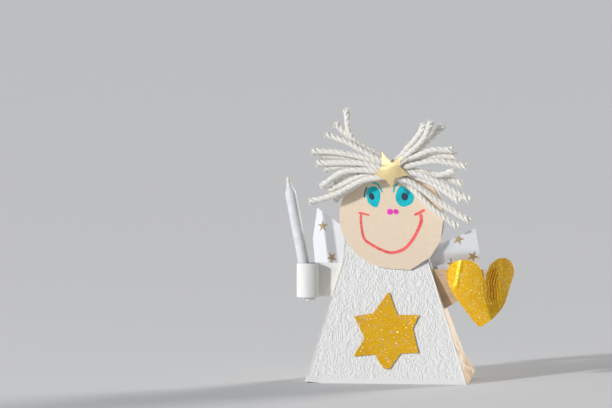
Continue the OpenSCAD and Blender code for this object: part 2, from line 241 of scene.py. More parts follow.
def effect(name, takes, gives):
    """An empty node group with named inputs and outputs."""
    tree = bpy.data.node_groups.new(name, "ShaderNodeTree")
    for socket, kind, value in takes:
        made = tree.interface.new_socket(socket, in_out="INPUT", socket_type="NodeSocket" + kind)
        made.default_value = value
    for socket, kind in gives:
        tree.interface.new_socket(socket, in_out="OUTPUT", socket_type="NodeSocket" + kind)
    return tree, tree.nodes.new("NodeGroupInput").outputs, tree.nodes.new("NodeGroupOutput").inputs


def use(tree, group, **feeds):
    """A node that runs a group; gives its outputs."""
    made = tree.nodes.new("ShaderNodeGroup")
    made.node_tree = group
    for socket, value in feeds.items():
        made.inputs[socket].default_value = value
    return made.outputs


def material(name, **fixed):
    """A material with fixed values on its surface, such as Roughness=0.5."""
    made = bpy.data.materials.new(name)
    made.use_nodes = True
    surface = made.node_tree.nodes["Principled BSDF"].inputs
    for socket, value in fixed.items():
        surface[socket.replace("_", " ")].default_value = value
    return made, made.node_tree, surface


def shaded(tree, base, shade):
    """A colour made lighter or darker by a shade."""
    return add(tree, "VectorMath", {0: base[:3], "Scale": shade}, operation="SCALE").outputs[0]


def remap(tree, value, low, high, to_low, to_high):
    """A value moved from one range to another."""
    return add(tree, "MapRange", {"Value": value, "From Min": low, "From Max": high,
                                  "To Min": to_low, "To Max": to_high}).outputs[0]


def on_piece(tree):
    """Where a point lies on its piece, in metres."""
    return add(tree, "TexCoord").outputs["Object"]


def mottle(tree, spot, scale, **more):
    """Soft noise at a place."""
    return add(tree, "TexNoise", {"Vector": spot, "Scale": scale, **more}).outputs[0]


def ramp(tree, value, *stops):
    """A colour that changes with a value, through (position, colour) stops."""
    made = add(tree, "ValToRGB", {"Fac": value})
    made.color_ramp.elements[0].position, made.color_ramp.elements[0].color = stops[0]
    made.color_ramp.elements[1].position, made.color_ramp.elements[1].color = stops[-1]
    for position, tone in stops[1:-1]:
        made.color_ramp.elements.new(position).color = tone
    return made.outputs[0]


def bump(tree, height, depth):
    """A normal from a height, with the depth in millimetres."""
    return add(tree, "Bump", {"Strength": 1.0, "Distance": depth * MM, "Height": height}).outputs[0]


print("material tools are ready")

# %% [markdown]
# ### Effects
# Fibre gives paper its faint clouds and flecks. Glitter cuts a surface into small cells that each lean their
# own way and have their own tone. Streaks are the uneven ink of a marker, and clouds are large soft spots.

# %% Effects
fibre, takes, gives = effect("fibre", [("Scale", "Float", 900.0)], [("Shade", "Float"), ("Height", "Float")])
flecks = mottle(fibre, on_piece(fibre), takes["Scale"], Detail=6.0, Roughness=0.7)
fibre.links.new(flecks, gives["Height"])
fibre.links.new(remap(fibre, flecks, 0.25, 0.75, 0.93, 1.03), gives["Shade"])

glitter, takes, gives = effect("glitter", [("Scale", "Float", 1700.0), ("Lean", "Float", 0.5)],
                               [("Pick", "Float"), ("Normal", "Vector")])
cells = add(glitter, "TexVoronoi", {"Vector": on_piece(glitter), "Scale": takes["Scale"]}).outputs["Color"]
off = add(glitter, "VectorMath", {0: cells, 1: (0.5, 0.5, 0.5)}, operation="SUBTRACT").outputs[0]
lean = add(glitter, "VectorMath", {0: off, "Scale": takes["Lean"]}, operation="SCALE").outputs[0]
plain = add(glitter, "NewGeometry").outputs["Normal"]
leant = add(glitter, "VectorMath", {0: plain, 1: lean}, operation="ADD").outputs[0]
glitter.links.new(add(glitter, "VectorMath", {0: leant}, operation="NORMALIZE").outputs[0], gives["Normal"])
glitter.links.new(add(glitter, "SeparateColor", {0: cells}).outputs[0], gives["Pick"])

streaks, takes, gives = effect("streaks", [("Scale", "Float", 700.0), ("Turn", "Float", 0.0),
                                           ("Contrast", "Float", 0.2)], [("Shade", "Float")])
turned = add(streaks, "VectorRotate", {"Vector": on_piece(streaks), "Angle": takes["Turn"]},
             rotation_type="Y_AXIS").outputs[0]
drawn = add(streaks, "VectorMath", {0: turned, 1: (0.18, 1.0, 1.0)}, operation="MULTIPLY").outputs[0]
lines = remap(streaks, mottle(streaks, drawn, takes["Scale"], Detail=3.0), 0.3, 0.7, -1.0, 1.0)
shade = add(streaks, "Math", {0: lines, 1: takes["Contrast"], 2: 1.0}, operation="MULTIPLY_ADD").outputs[0]
streaks.links.new(shade, gives["Shade"])

clouds, takes, gives = effect("clouds", [("Scale", "Float", 90.0)], [("Shade", "Float")])
clouds.links.new(mottle(clouds, on_piece(clouds), takes["Scale"], Detail=3.0), gives["Shade"])
print("effects:", ", ".join(g.name for g in bpy.data.node_groups))

# %% [markdown]
# ### Materials
# Paper and card are matte and differ in tone and grain, and the thin wing paper also lets some light through.
# The printed stars and the marker lines are thin layers of ink, so they get their own looks. Gold card, gold
# film and glitter card are part metal. Yarn has the sheen of its fibres, and wax is cloudy.


# %% Papers and inks
def paper(name, base, grain=900.0, relief=0.05, roughness=0.8, **more):
    """A matte paper or card with fibres."""
    made, tree, surface = material(name, Roughness=roughness, Specular_IOR_Level=0.25, **more)
    fibres = use(tree, fibre, Scale=grain)
    tree.links.new(shaded(tree, base, fibres["Shade"]), surface["Base Color"])
    tree.links.new(bump(tree, fibres["Height"], relief), surface["Normal"])
    return made


def ink(name, base, turn_by=0.0, roughness=0.55, contrast=0.2):
    """Marker ink in streaks, drawn at an angle in radians."""
    made, tree, surface = material(name, Roughness=roughness, Specular_IOR_Level=0.3)
    shade = use(tree, streaks, Turn=turn_by, Contrast=contrast)["Shade"]
    tree.links.new(shaded(tree, base, shade), surface["Base Color"])
    return made


dress_paper = paper("embossed dress paper", colour(231, 232, 231), grain=1400.0, relief=0.04)
# Brown card for the panels; its colour also paints the shaded gap beside the edge of the dress.
body_card = paper("brown body card and painted edge shade", colour(206, 178, 134), grain=700.0)
white_card = paper("white card", colour(240, 240, 237), grain=800.0)
arm_paper = paper("white arm paper", colour(239, 240, 238), grain=500.0, relief=0.12)
tan_paper = ink("tan arm paper", colour(206, 178, 146), roughness=0.8, contrast=0.12)
wing_paper = paper("wing paper", colour(228, 231, 235), grain=1200.0, relief=0.03, roughness=0.7,
                   Subsurface_Weight=0.15, Subsurface_Scale=0.0006, Subsurface_Radius=(1.0, 1.0, 1.0))
face_card = paper("peach face card", colour(236, 217, 194), grain=500.0, relief=0.02, roughness=0.7)
foam = paper("foam pad", colour(238, 237, 230), grain=1600.0, relief=0.25, roughness=0.9)
print_ink = ink("printed star ink", colour(176, 152, 116), turn_by=0.8)
turquoise = ink("turquoise marker", colour(6, 188, 202), turn_by=1.0)
deep_teal = ink("deep teal marker", colour(22, 128, 150), turn_by=0.3)
pupil_ink = ink("dark marker", colour(52, 62, 84), turn_by=0.6)
pink_ink = ink("pink marker", colour(240, 70, 190), turn_by=0.4)
red_ink = ink("red marker", colour(244, 104, 104), turn_by=0.2)
print("papers and inks:", len(bpy.data.materials))

# %% Side card with brown spots towards its foot
gusset_card, tree, surface = material("cream side card", Roughness=0.8, Specular_IOR_Level=0.25)
spots = use(tree, clouds, Scale=260.0)["Shade"]
height = add(tree, "SeparateXYZ", {0: on_piece(tree)}).outputs["Z"]
near_foot = remap(tree, height, 0.03, 0.002, -0.12, 0.1)
mix = add(tree, "Math", {0: spots, 1: near_foot}, operation="ADD").outputs[0]
tree.links.new(ramp(tree, mix, (0.42, colour(247, 236, 220)), (0.66, colour(216, 184, 146))),
               surface["Base Color"])
tree.links.new(bump(tree, use(tree, fibre, Scale=700.0)["Height"], 0.05), surface["Normal"])
print("side card:", gusset_card.name)

# %% Golds
gold_glitter, tree, surface = material("gold glitter card", Metallic=0.15, Roughness=0.5,
                                       Specular_IOR_Level=0.2)
cut = use(tree, glitter, Scale=1900.0, Lean=0.45)
tree.links.new(ramp(tree, cut["Pick"], (0.0, colour(192, 140, 2)), (0.35, colour(222, 168, 4)),
                    (0.8, colour(232, 180, 8)), (1.0, colour(232, 194, 60))), surface["Base Color"])
tree.links.new(cut["Normal"], surface["Normal"])

gold_film, tree, surface = material("gold film", Metallic=0.38, Roughness=0.36, Specular_IOR_Level=0.2,
                                    Coat_Weight=0.4, Coat_Roughness=0.08)
cut = use(tree, glitter, Scale=1300.0, Lean=0.16)
tree.links.new(ramp(tree, cut["Pick"], (0.0, colour(238, 176, 6)), (0.85, colour(252, 198, 22)),
                    (1.0, colour(254, 226, 120))), surface["Base Color"])
tree.links.new(cut["Normal"], surface["Normal"])

flake_look, tree, surface = material("glitter flakes", Metallic=0.3, Roughness=0.35)
cut = use(tree, glitter, Scale=1100.0, Lean=0.0)
tree.links.new(ramp(tree, cut["Pick"], (0.0, colour(222, 180, 56)), (0.45, colour(234, 206, 120)),
                    (0.75, colour(226, 216, 216)), (1.0, colour(204, 184, 214))), surface["Base Color"])

gold_card, tree, surface = material("champagne gold card", Metallic=0.35, Roughness=0.48)
grain = use(tree, fibre, Scale=600.0)
tree.links.new(shaded(tree, colour(236, 214, 160), grain["Shade"]), surface["Base Color"])
tree.links.new(bump(tree, grain["Height"], 0.06), surface["Normal"])
print("golds:", gold_glitter.name, gold_film.name, flake_look.name, gold_card.name, sep=", ")

# %% Yarn, wax and glue
yarn_look, tree, surface = material("cotton yarn", Roughness=0.95, Specular_IOR_Level=0.1, Sheen_Weight=0.4)
grain = use(tree, fibre, Scale=2600.0)
tree.links.new(shaded(tree, colour(238, 236, 230), grain["Shade"]), surface["Base Color"])
tree.links.new(bump(tree, grain["Height"], 0.15), surface["Normal"])

wax, tree, surface = material("candle wax", Roughness=0.5)
tree.links.new(ramp(tree, use(tree, clouds, Scale=260.0)["Shade"], (0.35, colour(213, 217, 221)),
                    (0.7, colour(227, 230, 233))), surface["Base Color"])
tree.links.new(bump(tree, use(tree, fibre, Scale=500.0)["Height"], 0.12), surface["Normal"])

wick_look = paper("waxed wick", colour(240, 231, 219), grain=1800.0, relief=0.15, roughness=0.6)

glue_look, tree, surface = material("dried glue", Roughness=0.35)
tree.links.new(ramp(tree, use(tree, clouds, Scale=300.0)["Shade"], (0.3, colour(206, 200, 184)),
                    (0.7, colour(230, 227, 216))), surface["Base Color"])
print("materials in all:", len(bpy.data.materials))

# %% [markdown]
# ## Yarn hair
# The hair is a bundle of white cotton yarn, laid across the top of the head and held by the star. Each length
# is three plies twisted round each other, so a curve with a round profile would look like a wire. Here each
# ply is its own tube that winds round the route of the strand. The star squeezes the bundle, the cut ends
# open like a brush, and fine fibres stand off all along. Each strand is made as two pieces that meet under
# the star, since the yarn is free to both sides of it.

# %% Hair routes
hair_root = Vector((1, -4.93, 116))
hair_routes = [
    [(-24.5, -1, 33), (-23, -1.5, 21), (-18.5, -1.6, 15), (-10, -1.6, 10), (1, -1.6, 4.8), (11, -1.6, 14),
     (16, -2, 20), (18.5, -2.5, 25)],
    [(-31, 2.5, 25), (-24, 2.5, 18.5), (-14, 2, 9.5), (-6, 0.2, 5.2), (1, -1.6, 2.5), (13.5, -1.2, 9.5),
     (20.5, 0, 16.5), (28.5, 0.5, 24)],
    [(-35, -5, 19), (-24, -5, 15.5), (-13, -4.8, 9.5), (1, -4.4, 3.7), (12.5, -4.8, 11), (19, -5, 18),
     (22.5, -5, 26.5)],
    [(-42.5, -4.5, 10), (-29, -4.5, 9.5), (-15, -4.4, 6.5), (1, -4.4, 1.4), (13, -4.4, 7), (23.5, -4.5, 11),
     (34, -4.5, 11)],
    [(-38.5, -1.5, 7.5), (-27, -1.5, 7), (-15.5, -1.6, 5), (1, -1.6, 0.3), (13.5, -1.6, 5), (24.5, -1.5, 7.5),
     (36, -1.5, 7.5)],
    [(-39.5, -7, 3.5), (-27, -7.2, 4), (-14, -7.2, 3.5), (1, -7.2, 0.3), (13.5, -7.2, 3), (26.5, -7.2, 5),
     (42, -7, 2)],
    [(-36, -4.5, 0.5), (-25.5, -4.4, 2), (-14, -4.4, 1.5), (1, -4.4, -0.7), (13.5, -4.4, 0), (24.5, -4.4, -3),
     (35, -4.5, -0.5)],
    [(-37.5, -7, -9), (-26.5, -7.2, -1.5), (-15, -7.2, 0), (1, -7.2, -1.8), (13.5, -7.2, -1.5),
     (28, -7.2, -7), (44, -7, -16)],
    [(-31, -1.6, -7), (-24, -1.6, -2.5), (-14.5, -1.6, -0.5), (1, -1.6, -1.8), (13.5, -1.6, -1), (27, -1, -3),
     (39, -1, -7.5)],
    [(-33.5, -4.4, -11.5), (-25, -4.4, -7.5), (-14, -4.4, -3), (1, -4.4, -2.8), (13.5, -4.4, -3.5),
     (26.5, -4.4, -9), (38, -4.4, -17)],
    [(-43.5, -7, -17.5), (-29, -7.2, -13), (-14, -7.2, -5.5), (1, -7.2, -3.9), (12.5, -6.5, -7),
     (26.5, -5, -17), (43.5, -4.5, -27.5)],
    [(-31, -1.6, -16.5), (-22, -1.6, -10.5), (-13, -1.6, -5.5), (1, -1.6, -3.9), (11, -1.6, -9.5),
     (22.5, -1.6, -20.5), (36.5, 1, -31)],
]
print("hair:", len(hair_routes), "strands")

# %% Yarn tools
yarn_thick = 3.4
yarn_step = 0.5
bundle_x = hair_root.x + 1
squeeze, squeeze_reach = 0.32, 9
brush_long, brush_fibres = 5.0, 44


def smooth_path(points, step):
    """A smooth curve through the points, sampled about one step apart."""
    ends = [2 * points[0] - points[1]] + points + [2 * points[-1] - points[-2]]
    path = []
    for a, b, c, d in zip(ends, ends[1:], ends[2:], ends[3:]):
        parts = max(2, round((c - b).length / step))
        for t in (i / parts for i in range(parts)):
            path.append((2 * b + (c - a) * t + (2 * a - 5 * b + 4 * c - d) * t * t
                         + (3 * b - a - 3 * c + d) * t ** 3) / 2)
    return path + [points[-1].copy()]


def carry_frame(path):
    """At each point of a path: the point, the way ahead and two directions square to it that do not spin."""
    frames, side = [], Vector((0, 1, 0))
    for i, point in enumerate(path):
        ahead = (path[min(i + 1, len(path) - 1)] - path[max(i - 1, 0)]).normalized()
        side = (side - ahead * side.dot(ahead)).normalized()
        frames.append((point, ahead, side, ahead.cross(side)))
    return frames


def ring(middle, side, up, radius, count, lumps=0.0):
    """Points round a middle, a little lumpy if asked."""
    points = []
    for i in range(count):
        way = side * math.cos(math.tau * i / count) + up * math.sin(math.tau * i / count)
        spot = middle + way * radius
        points.append(spot + way * lumps * noise.noise(spot * 1.7))
    return points


def loose_fibre(root, ahead, length, curl):
    """A single thin fibre that tapers and curls."""
    path = [root + ahead * length * t + curl * t * t for t in (0, 0.35, 0.7, 1)]
    side = ahead.orthogonal().normalized()
    return tube([ring(p, side, ahead.cross(side), r, 3) for p, r in zip(path, (0.09, 0.08, 0.055, 0.02))])


def twisted_yarn(frames, cut_at, chance, plies=3, pitch=10.0):
    """Soft plies twisted along frames; at the cut end, at length cut_at, they open like a brush."""
    parts = []
    for ply in range(plies):
        rings = []
        for point, _, side, up, along in frames:
            open_up = ease(brush_long, 0.0, abs(along - cut_at))
            angle = math.tau * (along / pitch + ply / plies)
            way = side * math.cos(angle) + up * math.sin(angle)
            thick = yarn_thick * (1 - squeeze * ease(squeeze_reach, 0, abs(point.x - bundle_x)))
            rings.append(ring(point + way * thick * (0.14 + 0.2 * open_up), side, up,
                              thick * (0.365 - 0.045 * open_up), 10, 0.16))
        parts.append(tube(rings))
    at_end = frames[-1][4] == cut_at
    point, ahead, side, up, _ = frames[-1] if at_end else frames[0]
    sense = 1 if at_end else -1
    for _ in range(brush_fibres):
        angle, out = chance.uniform(0, math.tau), chance.uniform(0.05, 0.6) * yarn_thick
        way = side * math.cos(angle) + up * math.sin(angle)
        heading = (ahead * sense + way * chance.uniform(-0.1, 0.4)).normalized()
        parts.append(loose_fibre(point + way * out - heading * 0.6, heading, chance.uniform(0.9, 1.9),
                                 way * chance.uniform(-0.3, 0.4)))
    for point, ahead, side, up, _ in chance.sample(frames, len(frames) * 2 // 3):
        angle = chance.uniform(0, math.tau)
        way = side * math.cos(angle) + up * math.sin(angle)
        heading = (ahead * chance.choice((-1, 1)) + way * chance.uniform(0.1, 0.4)).normalized()
        root = point + way * yarn_thick * 0.46
        parts.append(loose_fibre(root, heading, chance.uniform(1.0, 2.6), -way * 0.4))
    return join(parts)


print("yarn tools are ready")

# %% Hair strands
chance = random.Random(12)
total = 0.0
for number, route in enumerate(hair_routes, 1):
    path = smooth_path([hair_root + Vector(p) for p in route], yarn_step)
    along = [0.0]
    for a, b in zip(path, path[1:]):
        along.append(along[-1] + (b - a).length)
    frames = [(*f, s) for f, s in zip(carry_frame(path), along)]
    split_x = hair_root.x - 5 if number == 1 else bundle_x
    split = min(range(len(path)), key=lambda i: abs(path[i].x - split_x))
    for side_name, part, cut_at in (("left", frames[:split + 1], 0.0), ("right", frames[split:], along[-1])):
        shape = twisted_yarn(part, cut_at, chance)
        strand = build(f"hair_{number:02d}_{side_name}", shape, yarn_look, "doll", "yarn",
                       f"hair_{number:02d}")
        line = [f[0] * MM for f in part]
        if side_name == "left":
            line.reverse()
        length = abs(part[-1][4] - part[0][4])
        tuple(line[0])
        total += length
print("hair:", 2 * len(hair_routes), "half strands,", round(total), "mm of yarn in all")

# %% [markdown]
# ## The body
# The body is a wedge of brown card: two panels that meet at a ridge and run on as neck tabs, two narrow sides
# in cream and a base. The brown of the panels is partly painted shade: where it shows at the edge of the
# dress, it stands in for the shaded gap there. The freehand cutting shows at the lower corners, where the
# card stands off the table.
# So the panels and the sides are sheets with enough points to bend, and one small function lifts the corners
# of all of them alike.

# %% Body shape
base_wide, base_deep = 89, 40
ridge_z, ridge_wide, ridge_shift = 66, 47, -2.3
neck_z, neck_wide = 86, 44
side_top = 64.5
card = 0.8
rear_lift, front_lift = 4.2, 0.7


def half_wide(z):
    return (base_wide + (ridge_wide - base_wide) * z / ridge_z) / 2


def left_x(z):
    return ridge_shift * z / ridge_z - half_wide(z)


def right_x(z):
    return ridge_shift * z / ridge_z + half_wide(z)


def half_deep(z):
    return base_deep / 2 + (card - base_deep / 2) * z / ridge_z


def lift_corners(x, y, z):
    """The right rear corner stands up from the table, and so does the left front one."""
    rear = ease(28, 44, x) * ease(-14, 20, y) * ease(14, 0, z)
    front = ease(-34, -44, x) * ease(-10, -20, y) * ease(9, 0, z)
    return (x + 0.8 * rear, y - 0.5 * front, z + rear_lift * rear + front_lift * front)


def panel_span(z):
    """The left and right edge of a panel and its distance from the middle, at a height."""
    if z <= ridge_z:
        return left_x(z), right_x(z), half_deep(z)
    half = (ridge_wide + (neck_wide - ridge_wide) * (z - ridge_z) / (neck_z - ridge_z)) / 2
    return ridge_shift - half, ridge_shift + half, card


def panel_place(side):
    """The front panel at side -1 or the back panel at side 1."""
    def place(u, v, h):
        z = neck_z * v
        low, high, depth = panel_span(z)
        inset = card - h
        x = low + inset + (high - low - 2 * inset) * u
        return lift_corners(x, side * (depth - inset), z)
    return place


def side_place(edge, inward):
    """A narrow side along an edge of the body, swelling a little like bent card."""
    def place(u, v, h):
        z = side_top * v
        inset = card - h
        depth = max(0.05, half_deep(z) - inset)
        swell = 0.25 * wave(u * 9, z, 14, 5) * math.sin(math.pi * u)
        return lift_corners(edge(z) + inward * (inset + swell), depth * (2 * u - 1), z)
    return place


print("body:", base_wide, "mm wide and", base_deep, "mm deep at its foot")


# %% Body card
def dress_cad(node, look):
    """Gives a CAD piece that keeps its shape a look."""
    frame["nodes"][node].data.materials.clear()
    frame["nodes"][node].data.materials.append(look)


for name, side in (("front", -1), ("back", 1)):
    build(f"{name}_panel_card", grid_sheet(44, 43, card, panel_place(side)), body_card, "doll", "body_card",
          f"{name}_panel")
for name, edge, inward in (("left", left_x, 1), ("right", right_x, -1)):
    build(f"{name}_side_card", grid_sheet(16, 40, card, side_place(edge, inward)), gusset_card, "doll",
          "gusset_card", f"{name}_gusset")
dress_cad("base_card", gusset_card)
print("body: two panels, two sides and the base")

# %% [markdown]
# ## The embossed dress
# The dress is a thick white paper with an irregular embossed grain, like fine bark: short ridges that wander
# and fork. It is real relief that catches the light from the side, so the front of the sheet is a fine grid
# pushed in by noise. The noise is drawn out upwards, and a slower noise bends it to and fro. In front the
# paper also covers the neck tab, up to the face.

# %% Embossed paper
# Half a millimetre of paper, measured level on the sloping panel.
dress_thick = 0.521
paper_gap = 0.01


def bark(x, z):
    """Depth of the relief below the crests of the paper, in millimetres."""
    across, along = x + 2.6 * wave(x, z, 5, 3), z + 2.6 * wave(x, z, 5, 8)
    big = abs(noise.noise(Vector((across / 1.3, along / 2.8, 0.0))))
    small = abs(noise.noise(Vector((across / 0.7, along / 1.3, 7.0))))
    broad = 0.5 + 0.5 * wave(x, z, 12, 11)
    return min(0.46, (0.95 + 0.6 * broad) * (0.55 * big + 0.6 * small))


def dress_place(side, top):
    """The dress paper on the front panel at side -1 or the back panel at side 1, up to a height."""
    def place(u, v, h):
        z = top * v
        low, high, depth = panel_span(z)
        high += 0.15 * wave(9, z, 5) - 0.15
        x = low + (high - low) * u
        if h == 0:
            return lift_corners(x, side * (depth + paper_gap), z)
        relief = bark(x + 50 * side, z) * ease(1.4, 4, z) * ease(0, 0.015, u) * ease(1, 0.985, u)
        return lift_corners(x, side * (depth + h - relief), z)
    return place


build("dress_front_paper", grid_sheet(270, 250, dress_thick, dress_place(-1, neck_z)), dress_paper, "doll",
      "embossed_paper", "dress_front")
build("dress_back_paper", grid_sheet(170, 130, dress_thick, dress_place(1, ridge_z)), dress_paper, "doll",
      "embossed_paper", "dress_back")
print("dress: two embossed sheets")

# %% [markdown]
# ## The glitter star
# The six-point star was cut out freehand, so its arms are uneven and the lowest one is blunt. It is glitter
# card, a little sprung off the paper at its tips. The card gets a cell pattern for its base coat, and a few
# hundred small flakes lie on it as geometry, each tilted its own way: only real facets flash one by one.

# %% Chest star
dress_lean = math.atan2(base_deep / 2 - card, ridge_z)
dress_foot = -base_deep / 2 - dress_thick
star_thick = 0.4
star_outline = [(0.1, 51.1), (2.6, 44.5), (5.3, 38.3), (16.9, 38.3), (14.0, 30.7), (17.4, 17.3), (7.8, 16.9),
                (4.4, 12.2), (2.2, 8.6), (0.6, 7.8), (-1.4, 8.6), (-3.8, 11.8), (-6.5, 16.2), (-17.9, 15.0),
                (-12.5, 25.1), (-18.4, 37.3), (-8.3, 39.1), (-4.0, 45.0)]


def on_dress(x, t, h):
    """A point on the front of the dress, t up its slope and h off it."""
    return (x, dress_foot + t * math.sin(dress_lean) - h * math.cos(dress_lean),
            t * math.cos(dress_lean) + h * math.sin(dress_lean))


def star_place(x, t, h):
    """The star's card, whose tips spring off the dress."""
    spring = 0.9 * ease(13, 23, math.dist((x, t), (0, 28))) * (0.6 + 0.6 * wave(x, t, 15, 2))
    return on_dress(x, t, 0.05 + h + max(0.0, spring))


def scatter_flakes(outline, place, thickness, count, size, chance):
    """Small six-sided flakes on a sheet, each tilted its own way."""
    xs, ys = [p[0] for p in outline], [p[1] for p in outline]
    parts = []
    while len(parts) < count:
        x, y = chance.uniform(min(xs), max(xs)), chance.uniform(min(ys), max(ys))
        if not inside(x, y, outline):
            continue
        middle = Vector(place(x, y, thickness + 0.06))
        along = (Vector(place(x + 0.3, y, thickness + 0.06)) - middle).normalized()
        above = (Vector(place(x, y, thickness + 0.4)) - middle).normalized()
        tipped = (above + Vector([chance.uniform(-0.35, 0.35) for _ in range(3)])).normalized()
        side = (along - tipped * along.dot(tipped)).normalized()
        radius = size * chance.uniform(0.6, 1.1)
        top = ring(middle, side, tipped.cross(side), radius, 6)
        parts.append(tube([[p - tipped * 0.05 for p in top], top]))
    return join(parts)


star_card = cut_sheet(star_outline, 1.2, star_thick, star_place)
build("glitter_star", star_card, gold_glitter, "doll", "gold_glitter", "chest_star")
star_flakes = scatter_flakes(star_outline, star_place, star_thick, 400, 0.27, random.Random(6))
build("glitter_star_flakes", star_flakes, flake_look, "doll", "gold_glitter")
print("chest star: card and flakes")

# %% [markdown]
# ## The head
# Two card discs make the head. The peach one in front was cut with straight snips on its lower right, and a
# rim of the white one behind it shows there. Both are outlines filled with triangles, very slightly wavy like
# real card, and pressed back at the chin until they lie on the dress.

# %% Head discs
head_middle = (1, 90)
white_back, white_thick, white_chin = -3.5, 0.4, 0.75
glue_back, glue_thick = -4.0, 0.36
face_back, face_thick, face_chin = -4.4, 0.5, 1.2
snips = [(10.5, -28.8), (21.8, -21.5), (27.2, -12.8), (28.8, -1.0)]


def disc_outline(shift, size, corners):
    """A hand-cut disc; corners on its lower right stand in for a part of its round edge."""
    points = []
    for angle in range(0, 360, 3):
        if corners and angle > 270:
            continue
        radius = size - 0.9 * ease(60, 0, abs(angle - 235)) + 0.15 * wave(angle, 0, 20)
        way = math.radians(angle)
        points.append((radius * math.cos(way), radius * math.sin(way)))
    return [(head_middle[0] + shift + x, head_middle[1] + z) for x, z in points + corners]


def head_place(back, chin):
    """A disc with its back at the given depth; its chin is pressed back by some millimetres."""
    def place(x, z, h):
        return (x, back + 0.12 * wave(x, z, 24, 4) + chin * ease(76, 61.5, z) - h, z)
    return place


white_disc = cut_sheet(disc_outline(0.9, 28.8, []), 2.5, white_thick, head_place(white_back, white_chin))
build("white_disc", white_disc, white_card, "doll", "white_card", "head_backing")
peach_disc = cut_sheet(disc_outline(0.0, 28.5, snips), 2.0, face_thick, head_place(face_back, face_chin))
build("peach_disc", peach_disc, face_card, "doll", "face_card", "face_disc")
glue_outline = [(head_middle[0] + 15 * math.cos(a), head_middle[1] + 2 + 13 * math.sin(a))
                for a in (math.radians(degrees) for degrees in range(0, 360, 10))]
glue_layer = cut_sheet(glue_outline, 3.0, glue_thick, head_place(glue_back, 0.0))
build("glue_layer", glue_layer, glue_look, "doll", "glue", "face_glue")
dress_cad("head_pad", foam)
print("head: two discs, pad and glue")

# %% [markdown]
# ## The drawn face
# The face is drawn with felt markers: big turquoise eyes with dark pupils, short lid lines, a nose of two
# pink dots and one long red smile. Each stroke is a very thin sheet of ink with a slightly unsteady edge,
# laid on the card. So the lines stay sharp however near the camera comes.

# %% Marker tools
on_face = head_place(face_back - face_thick - 0.01, face_chin)
ink_thick = 0.04
first_coat, second_coat = 0.01, 0.06


def stroke(points, start, end):
    """The outline of a pen stroke that changes from one width to another."""
    path = smooth_path([Vector((x, 0, z)) for x, z in points], 0.5)
    right, left = [], []
    for i, p in enumerate(path):
        ahead = (path[min(i + 1, len(path) - 1)] - path[max(i - 1, 0)]).normalized()
        out = Vector((ahead.z, 0, -ahead.x))
        t = i / (len(path) - 1)
        half = (start + (end - start) * t) / 2 * (1 + 0.12 * wave(p.x, p.z, 1.6, 9))
        half *= min(1.0, 0.55 + 3 * min(t, 1 - t) * len(path) * 0.12)
        right.append((p.x + out.x * half, p.z + out.z * half))
        left.append((p.x - out.x * half, p.z - out.z * half))
    return right + left[::-1]


def blot(points, wobble=0.15):
    """A rounded patch of ink through a few rim points."""
    loop = [Vector((x, 0, z)) for x, z in points]
    path = smooth_path(loop[-2:] + loop + loop[:2], 0.5)
    start = min(range(len(path) // 2), key=lambda i: (path[i] - loop[0]).length)
    end = max(range(len(path)), key=lambda i: (i > len(path) // 2) * 10 - (path[i] - loop[0]).length)
    return [(p.x + wobble * wave(p.x, p.z, 1.3, 1), p.z + wobble * wave(p.x, p.z, 1.3, 2))
            for p in path[start:end]]


def draw(name, outline, look, coat):
    """A patch of ink on the face; the second coat lies over the first."""
    shape = cut_sheet(outline, 0.9, ink_thick, lambda x, z, h: on_face(x, z, coat + h))
    return build(name, shape, look, "doll", "face_card")


print("marker tools are ready")

# %% Marker lines
draw("left_eye", blot([(-8.9, 107.0), (-5.6, 105.2), (-4.9, 101.0), (-6.4, 96.0), (-8.6, 95.8), (-11.6, 98.2),
                       (-12.5, 102.2), (-11.6, 105.6)]), turquoise, first_coat)
draw("left_pupil", blot([(-9.9, 103.4), (-8.4, 102.2), (-8.3, 100.2), (-9.4, 99.5), (-10.9, 100.8),
                         (-11.1, 102.6)]), pupil_ink, second_coat)
draw("right_eye", blot([(6.4, 107.2), (10.4, 105.0), (13.6, 101.9), (12.6, 98.0), (9.0, 96.0), (6.0, 96.4),
                        (3.7, 99.6), (4.0, 103.6)]), turquoise, first_coat)
draw("right_pupil", blot([(8.0, 103.6), (9.8, 102.8), (10.4, 101.0), (9.2, 99.4), (7.2, 99.9), (6.8, 102.0)]),
     pupil_ink, second_coat)
draw("left_lid_outer", stroke([(-13.6, 100.6), (-13.4, 103.4), (-12.2, 106.6)], 0.8, 1.0), deep_teal,
     first_coat)
draw("left_lid", stroke([(-9.4, 108.9), (-6.8, 108.3), (-4.9, 106.2), (-3.9, 103.6)], 0.9, 0.8), turquoise,
     second_coat)
draw("right_lid", stroke([(2.3, 103.6), (3.0, 106.6), (4.9, 109.0)], 0.8, 0.9), turquoise, second_coat)
draw("nose_left", blot([(0.4, 94.8), (1.9, 94.0), (2.0, 92.2), (0.5, 91.4), (-1.1, 92.3), (-1.0, 94.1)]),
     pink_ink, first_coat)
draw("nose_right", blot([(3.8, 94.6), (5.1, 93.6), (4.8, 92.0), (3.5, 91.7), (2.4, 92.7), (2.6, 94.1)]),
     pink_ink, second_coat)
draw("smile", stroke([(-15.4, 91.9), (-15.6, 88.0), (-14.8, 81.6), (-13.3, 77.6), (-9.5, 74.9), (-4.2, 72.1),
                      (1.5, 70.6), (8.0, 72.6), (12.5, 77.3), (15.7, 82.9), (17.6, 87.8), (17.4, 92.0)],
                     1.3, 1.9), red_ink, first_coat)
draw("left_cheek", stroke([(-16.9, 92.5), (-14.0, 91.9), (-10.8, 91.1)], 1.3, 0.9), red_ink, second_coat)
draw("right_cheek", stroke([(13.8, 91.4), (16.6, 92.6), (19.6, 94.3)], 1.3, 1.5), red_ink, second_coat)
print("face: eyes, lids, nose, smile and cheeks")

# %% [markdown]
# ## The forehead star
# A small gold card star hides the middle of the hair. It is folded across, so its upper half leans back and
# shines while its lower half lies down on the yarn. The yarn below makes its lower half swell like a dome.

